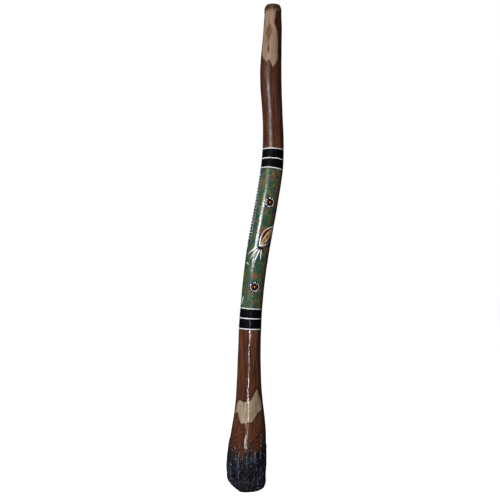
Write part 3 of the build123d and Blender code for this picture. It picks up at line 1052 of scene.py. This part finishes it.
rosettes = turns_and_heights("rosette_centre_dots", 2)
discs, white, maroon, ochre = [], [], [], []
for i, (h, turn) in enumerate(rosettes):
    outline = round_outline(DISC, 0.07, i * 2.3)
    discs.append(laid(patch(outline, 18, 18, OVER, -0.3 * MM), h, turn))
    r = at_height(h)[2]
    # how many drops, how far out, radius and top of a drop in millimetres
    for ring_of, count, away, size, high in (
        (white, 13, 11.0, 1.6, 1.5),
        (maroon, 7, 5.7, 1.6, 1.3),
        (ochre, 1, 0.0, 2.2, 1.6),
    ):
        for k in range(count):
            a = 2 * math.pi * k / count + 0.25 * noise.noise((k * 3.3, i * 5.1, count))
            away_k = away * (1 + 0.05 * noise.noise((k * 2.7, i, 1.5))) * MM
            size_k = size * (1 + 0.22 * noise.noise((k * 1.9, i * 4.0, 7.7))) * MM
            drop = dot(size_k, OVER, high * MM, k * 1.7 + i)
            if ring_of is white:
                bmesh.ops.scale(drop, vec=(0.74, 1.3, 1), verts=drop.verts)
                spoke = Matrix.Rotation(-a, 3, "Z")
                bmesh.ops.rotate(drop, cent=(0, 0, 0), matrix=spoke, verts=drop.verts)
            x, y = away_k * math.sin(a), away_k * math.cos(a)
            ring_of.append(laid(drop, h + y, turn + x / r))
shown("rosette_discs", joined(discs), BLACK, ["rosette_discs"])
shown("rosette_outer_dots", joined(white), WHITE, ["rosette_outer_dots"])
shown("rosette_inner_dots", joined(maroon), MAROON, ["rosette_inner_dots"])
shown("rosette_centre_dots", joined(ochre), OCHRE, ["rosette_centre_dots"])

# %% [markdown]
# ## Dotted strip
# A black strip runs up the left side of the field with a row of white drops on it. A fine
# pale line closes its front edge.

# %% Dotted strip
STRIP_HALF, LINE_AWAY, LINE_HALF_WIDE = 7.6 * MM, 8.3 * MM, 0.55 * MM
strip_low, strip_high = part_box("border_strip")
PALE_LINE = paint_material("pale_blue_paint", rgb(150, 176, 190), rgb(110, 136, 150))
FORWARD = 0.10  # radians nearer the front than the engineering model, so the drops show
drops = turns_and_heights("border_dots", 22)
strip_turn = sum(t for _, t in drops) / len(drops) + FORWARD
strip_middle = sum(h for h, _ in drops) / len(drops)
tall = (strip_high.z - strip_low.z) / 2


def strip(u, w):
    x = STRIP_HALF * u + 0.5 * MM * noise.noise((u * 0.5, w * 9, 3.0))
    return x, w * (tall + 0.6 * MM)


def edge_line(u, w):
    return LINE_AWAY + LINE_HALF_WIDE * u + 0.5 * MM * noise.noise((0.5, w * 9, 3.0)), w * tall


band = laid(patch(strip, 6, 90, OVER, -0.3 * MM), strip_middle, strip_turn)
line = laid(patch(edge_line, 2, 120, OVER, -0.3 * MM), strip_middle, strip_turn)
strip_drops = []
for k, (h, t) in enumerate(drops):
    size = (2.3 + 0.3 * noise.noise((k * 1.37, 1.0, 0.3))) * MM
    drop = dot(size, OVER, 1.5 * MM, k * 0.9)
    bmesh.ops.scale(drop, vec=(2.3, 0.62, 1), verts=drop.verts)
    strip_drops.append(laid(drop, h, t + FORWARD + 0.02 * noise.noise((k * 2.1, 1.0, 4.3))))
shown("border_strip", band, BLACK, ["border_strip"])
shown("border_dots", joined(strip_drops), WHITE, ["border_dots"])
shown("border_edge_line", line, PALE_LINE)

# %% [markdown]
# ## Leaf
# The leaf is a white shape with maroon and ochre panels on it, so the white shows as
# outline and veins. One outline makes all of them: a bow that closes at both tips.

# %% Leaf
LEAF_LONG, LEAF_WIDE, LEAF_LINE = 35 * MM, 17 * MM, 1.6 * MM
PANEL_LONG, LIGHT_WIDE = 30 * MM, 5.5 * MM
((leaf_at, leaf_turn),) = turns_and_heights("leaf_light_panel", 1)
leaf_lean = math.radians(-32)
print("leaf at", round(leaf_at * 1000, 1), "mm, turned", round(math.degrees(leaf_turn), 1), "degrees")


def leaf(long, wide, inner=0.0, side=0):
    """Outline of a leaf, or with a side the part between its edge and an inner leaf."""

    def outline(u, w):
        bow = max(1 - w * w, 0.0)
        if side:
            near, far = inner * bow, wide * bow
            return side * (near + (far - near) * (side * u + 1) / 2), w * long
        return u * wide * bow, w * long

    return outline


whole = patch(leaf(LEAF_LONG, LEAF_WIDE), 16, 44, OVER, -0.3 * MM)
light = patch(leaf(PANEL_LONG, LIGHT_WIDE), 8, 44, 1.1 * MM, 0.3 * MM)
dark_wide = LEAF_WIDE - LEAF_LINE
dark = [
    patch(leaf(PANEL_LONG, dark_wide, LIGHT_WIDE + LEAF_LINE, side), 8, 44, 1.1 * MM, 0.3 * MM)
    for side in (-1, 1)
]
for work in (whole, light, *dark):
    wrap(work, leaf_at, leaf_turn, leaf_lean)
shown("leaf_outline", whole, WHITE, ["leaf_outline"])
shown("leaf_dark_panels", joined(dark), MAROON, ["leaf_dark_panels"])
shown("leaf_light_panel", light, OCHRE, ["leaf_light_panel"])

# %% [markdown]
# ## Brush strokes
# A loaded brush starts full and runs out to a point. A fan of such strokes hangs below the
# leaf, over shorter dabs of black. A few small marks stand alone at the left.

# %% Brush strokes
FAN_AT, FAN_TURN = leaf_at - 23 * MM, leaf_turn - math.radians(22)


def stroke(long, wide, curl=0.0, start=0.0, top=OVER):
    """A tapered stroke that starts full and ends in a point, downwards."""

    def outline(u, w):
        t = (1 - w) / 2
        half = wide / 2 * (0.35 + 0.65 * smooth(t * 5)) * (1 - t) ** 0.7
        return u * half + curl * t * t, -start - t * long

    return patch(outline, 6, 30, top, -0.3 * MM, crown=0.4 * MM)


fan = ((-52, 30), (-35, 32), (-17, 34), (1, 24))
strokes, shadows = [], []
for lean, long in fan:
    work = stroke(1.15 * long * MM, 5.4 * MM, 1.5 * MM, 13 * MM)
    strokes.append(laid(work, FAN_AT, FAN_TURN, math.radians(lean)))
for lean, long in ((-43, 20), (-26, 19), (-8, 22), (12, 15)):
    work = stroke(long * MM, 7 * MM, 1 * MM, 8 * MM, 0.6 * MM)
    shadows.append(laid(work, FAN_AT, FAN_TURN, math.radians(lean)))
CURVE_AT, CROSS_AT, SPOT_AT = (0.489, -54), (0.574, -50), (0.615, -80)  # height, turn


def aside(work, place, lean=0):
    """A small mark at a height and a turn in degrees."""
    return laid(work, place[0], math.radians(place[1]), math.radians(lean))


strokes.append(aside(stroke(24 * MM, 2.4 * MM, -3 * MM), CURVE_AT, -6))
for lean in (38, -44):
    strokes.append(aside(stroke(9 * MM, 2.2 * MM), CROSS_AT, lean))
strokes.append(aside(patch(round_outline(2.6 * MM, 0.3, 4.0), 6, 6, OVER, 0), SPOT_AT))
shown("brush_strokes", joined(strokes), WHITE, ["brush_strokes"])
shown("brush_shadows", joined(shadows), BLACK)

# %% [markdown]
# ## Knot filling
# A knot hole near the mouth is filled and sanded flush, so it takes the same stain as the
# wood round it: a dark olive heart, a thin tail and a purple drop at its end.

# %% Knot filling
KNOT_WIDE, KNOT_TALL = 6.2 * MM, 18.5 * MM
knot_low, knot_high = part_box("knot_filler")
knot_mid = (knot_low + knot_high) / 2
x, y, _, _ = at_height(knot_mid.z)
knot_turn = math.atan2(knot_mid.x - x, -(knot_mid.y - y))


def knot_outline(u, w):
    x, y = u * math.sqrt(1 - w * w / 2), w * math.sqrt(1 - u * u / 2)
    return x * KNOT_WIDE * (1 + 0.15 * w), y * KNOT_TALL


bm = laid(patch(knot_outline, 30, 80, 0.25 * MM, -2 * MM), knot_mid.z, knot_turn)
mark_wood(bm)
shown("knot_filler", bm, wood_material("knot_resin", 0.3), ["knot_filler"])

# %% [markdown]
# ## Marks on the rim
# Small black dabs sit on the shoulder of the wax, unevenly spaced. Each is laid
# square to the rounded rim.

# %% Marks on the rim
MARK_TURNS = (-150, -118, -78, -42, 4, 22, 62, 95, 130, 168)
marks = []
for k, turn in enumerate(MARK_TURNS):
    turn = math.radians(turn)
    mark = dot((2.1 + 0.6 * noise.noise((k * 1.7, 6.0, 2.0))) * MM, -0.3 * MM, 0.25 * MM, k * 1.3)
    bmesh.ops.scale(mark, vec=(1.0, 1.25, 1), verts=mark.verts)
    r, z = shoulder(math.asin(0.42 + 0.1 * noise.noise((k * 1.1, 2.0, 9.0))))
    out = Vector((math.sin(turn), -math.cos(turn), 0.0))
    facing = Vector((out.x, out.y, 0.3)).to_track_quat("Z", "Y").to_matrix().to_4x4()
    place = Matrix.Translation(Vector((MOUTH.x, MOUTH.y, z)) + out * (r + 0.25 * MM)) @ facing
    mark.verts.layers.float_vector.new("straight")
    bmesh.ops.transform(mark, matrix=place, verts=mark.verts)
    marks.append(mark)
shown("mouth_marks", joined(marks), BLACK)

# %% [markdown]
# ## Floor and surroundings
# The floor and the surroundings are plain white to the eye. Varnish would mirror them and
# turn grey, so glossy rays see dark surroundings instead and no floor.

# %% Floor and surroundings
world = bpy.data.worlds.new("studio")
bpy.context.scene.world = world
world.use_nodes = True
tree = world.node_tree
path = tree.nodes.new("ShaderNodeLightPath")


def glow(colour, strength, node=None):
    """Light of one colour from all round."""
    node = node or tree.nodes.new("ShaderNodeBackground")
    node.inputs[0].default_value = (*colour, 1)
    node.inputs[1].default_value = strength
    return node.outputs[0]


def choose(ray, others, chosen):
    """One glow for rays of this kind and another for the rest."""
    node = tree.nodes.new("ShaderNodeMixShader")
    for socket, value in zip(node.inputs, (path.outputs[ray], others, chosen)):
        tree.links.new(value, socket)
    return node.outputs[0]


dim = glow((1, 1, 1), 0.1, tree.nodes["Background"])
seen, mirrored = glow((1, 1, 1), 1.0), glow((0.7, 0.85, 1), 0.03)
surroundings = choose("Is Camera Ray", choose("Is Glossy Ray", dim, mirrored), seen)
tree.links.new(surroundings, tree.nodes["World Output"].inputs[0])

floor_mesh = bpy.data.meshes.new("floor")
bm = bmesh.new()
bmesh.ops.create_grid(bm, x_segments=2, y_segments=2, size=6)
bm.to_mesh(floor_mesh)
bm.free()
floor = bpy.data.objects.new("floor", floor_mesh)
bpy.context.scene.collection.objects.link(floor)
floor_look = bpy.data.materials.new("floor")
floor_look.use_nodes = True
shader = floor_look.node_tree.nodes["Principled BSDF"]
shader.inputs["Base Color"].default_value = (0.9, 0.9, 0.9, 1)
shader.inputs["Roughness"].default_value = 0.9
shader.inputs["Specular IOR Level"].default_value = 0.0
shader.inputs["Emission Color"].default_value = (1, 1, 1, 1)
shader.inputs["Emission Strength"].default_value = 0.9
floor_mesh.materials.append(floor_look)
floor.visible_glossy = False
floor.visible_diffuse = False

# %% [markdown]
# ## Lamps
# A tall narrow lamp draws the bright line down the lower varnish. A broad one lights the
# painted field, a high one the upper wood, and a weak fill opens the right side.

# %% Lamps


def lamp(name, place, aim, wide, tall, power, colour=(1, 1, 1)):
    light = bpy.data.lights.new(name, "AREA")
    light.shape = "RECTANGLE"
    light.size, light.size_y = wide, tall
    light.energy = power
    light.color = colour
    holder = bpy.data.objects.new(name, light)
    holder.location = place
    way = Vector(aim) - Vector(place)
    holder.rotation_euler = way.to_track_quat("-Z", "Y").to_euler()
    holder.visible_camera = False
    bpy.context.scene.collection.objects.link(holder)
    return holder


lamp("strip", (-0.2, -1.25, 0.17), (0.0, 0.0, 0.17), 0.075, 0.5, 3.8, (0.97, 0.98, 1.0))
lamp("broad", (-0.95, -1.5, 1.06), (0.0, 0.0, 0.7), 0.75, 0.4, 34, (0.93, 0.97, 1.0))
lamp("high", (-0.5, -1.6, 2.3), (0.0, 0.0, 0.7), 0.5, 0.9, 5, (1.0, 0.94, 1.0))
fill = lamp("fill", (0.9, -1.6, 0.5), (0.0, 0.0, 0.5), 1.0, 1.2, 2.5)
fill.visible_glossy = False

# %% [markdown]
# ## Camera
# The camera stands in front at half the log's height, far enough back that the rim and
# the bell are both seen almost level.

# %% Camera
camera = bpy.data.cameras.new("camera")
camera.sensor_width = 36.0
camera.lens = 44.5
camera.dof.use_dof = False
eye = bpy.data.objects.new("camera", camera)
eye.location = (-13.5 * MM, -1602.9 * MM, 622.7 * MM)
eye.rotation_euler = (math.radians(90 - 0.475), 0, 0)
bpy.context.scene.collection.objects.link(eye)
bpy.context.scene.camera = eye
bpy.context.scene.view_settings.view_transform = "Standard"
print("camera", round(-eye.location.y, 2), "m away")
